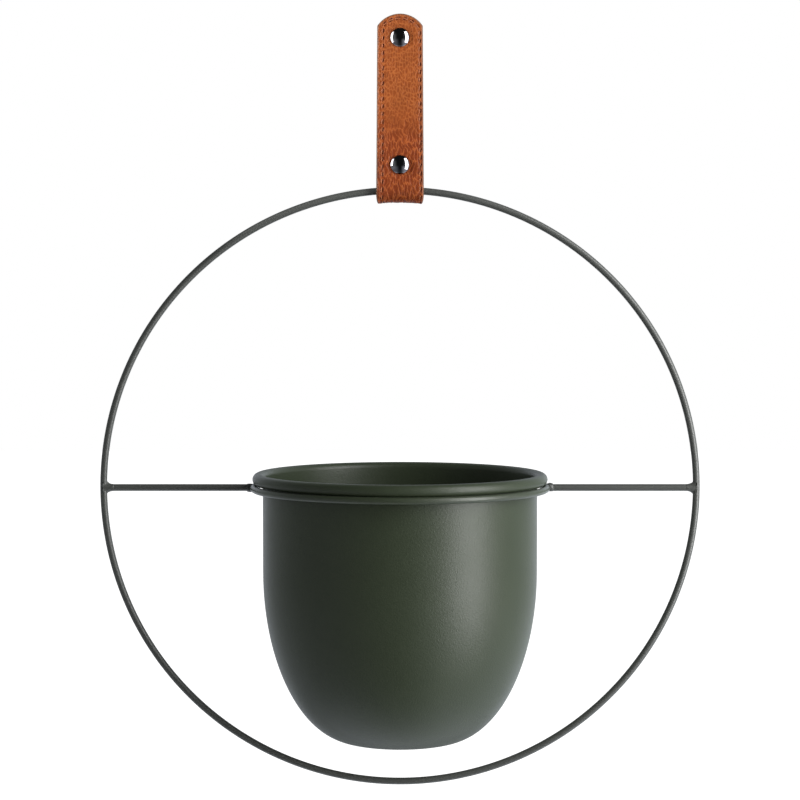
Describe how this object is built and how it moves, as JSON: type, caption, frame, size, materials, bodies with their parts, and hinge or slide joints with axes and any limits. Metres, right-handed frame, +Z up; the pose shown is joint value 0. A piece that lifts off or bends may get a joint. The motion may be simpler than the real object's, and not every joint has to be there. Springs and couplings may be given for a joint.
{
  "type": "hanging planter",
  "caption": "Round wire hoop with a round-bottomed steel pot lifted out of a ring on two crossbars, hung from a folded leather strap with press studs.",
  "frame": {"origin": "where a hook or rail carries the strap: midway between its leaves, just under the upper press stud", "axes": "+Z up, X along the crossbars and the strap's width, -Y toward the viewer of the strap's front leaf"},
  "size_m": [0.301, 0.1502, 0.3864],
  "materials": {
    "tan_leather": "grained, lightly waxed tan leather",
    "lining_leather": "plain brown leather",
    "thread": "tone-on-tone thread",
    "gunmetal": "polished dark nickel",
    "spring_steel": "bright spring wire",
    "green_powder_coat_wire": "satin dark green powder coat",
    "green_powder_coat_pot": "satin dark green powder coat with fine texture"
  },
  "bodies": {
    "strap": {"strap_outer_leather": "tan_leather", "strap_lining": "lining_leather", "strap_stitching": "thread", "lower_snap_cap": "gunmetal", "lower_snap_post": "gunmetal", "lower_snap_socket": "gunmetal", "lower_snap_spring": "spring_steel", "lower_snap_stud": "gunmetal", "lower_snap_eyelet": "gunmetal", "upper_snap_stud": "gunmetal", "upper_snap_eyelet": "gunmetal"},
    "flap": {"flap_outer_leather": "tan_leather", "flap_lining": "lining_leather", "flap_stitching": "thread", "upper_snap_cap": "gunmetal", "upper_snap_post": "gunmetal", "upper_snap_socket": "gunmetal", "upper_snap_spring": "spring_steel"},
    "frame": {"outer_hoop": "green_powder_coat_wire", "left_crossbar": "green_powder_coat_wire", "right_crossbar": "green_powder_coat_wire", "pot_ring": "green_powder_coat_wire", "hoop_welds": "green_powder_coat_wire", "ring_welds": "green_powder_coat_wire"},
    "pot": {"pot_shell": "green_powder_coat_pot"}
  },
  "joints": [
    {"name": "flap_open", "type": "hinge", "parent": "strap", "child": "flap", "pos_m": [0, -0.005, -0.0519], "axis": [1, 0, 0], "range_deg": [0, 100]},
    {"name": "hoop_swing", "type": "hinge", "parent": "strap", "child": "frame", "pos_m": [0, 0, -0.0709], "axis": [1, 0, 0], "range_deg": [-60, 60]},
    {"name": "pot_lift", "type": "slide", "parent": "frame", "child": "pot", "axis": [0, 0, 1], "range_m": [0, 0.115]}
  ]
}
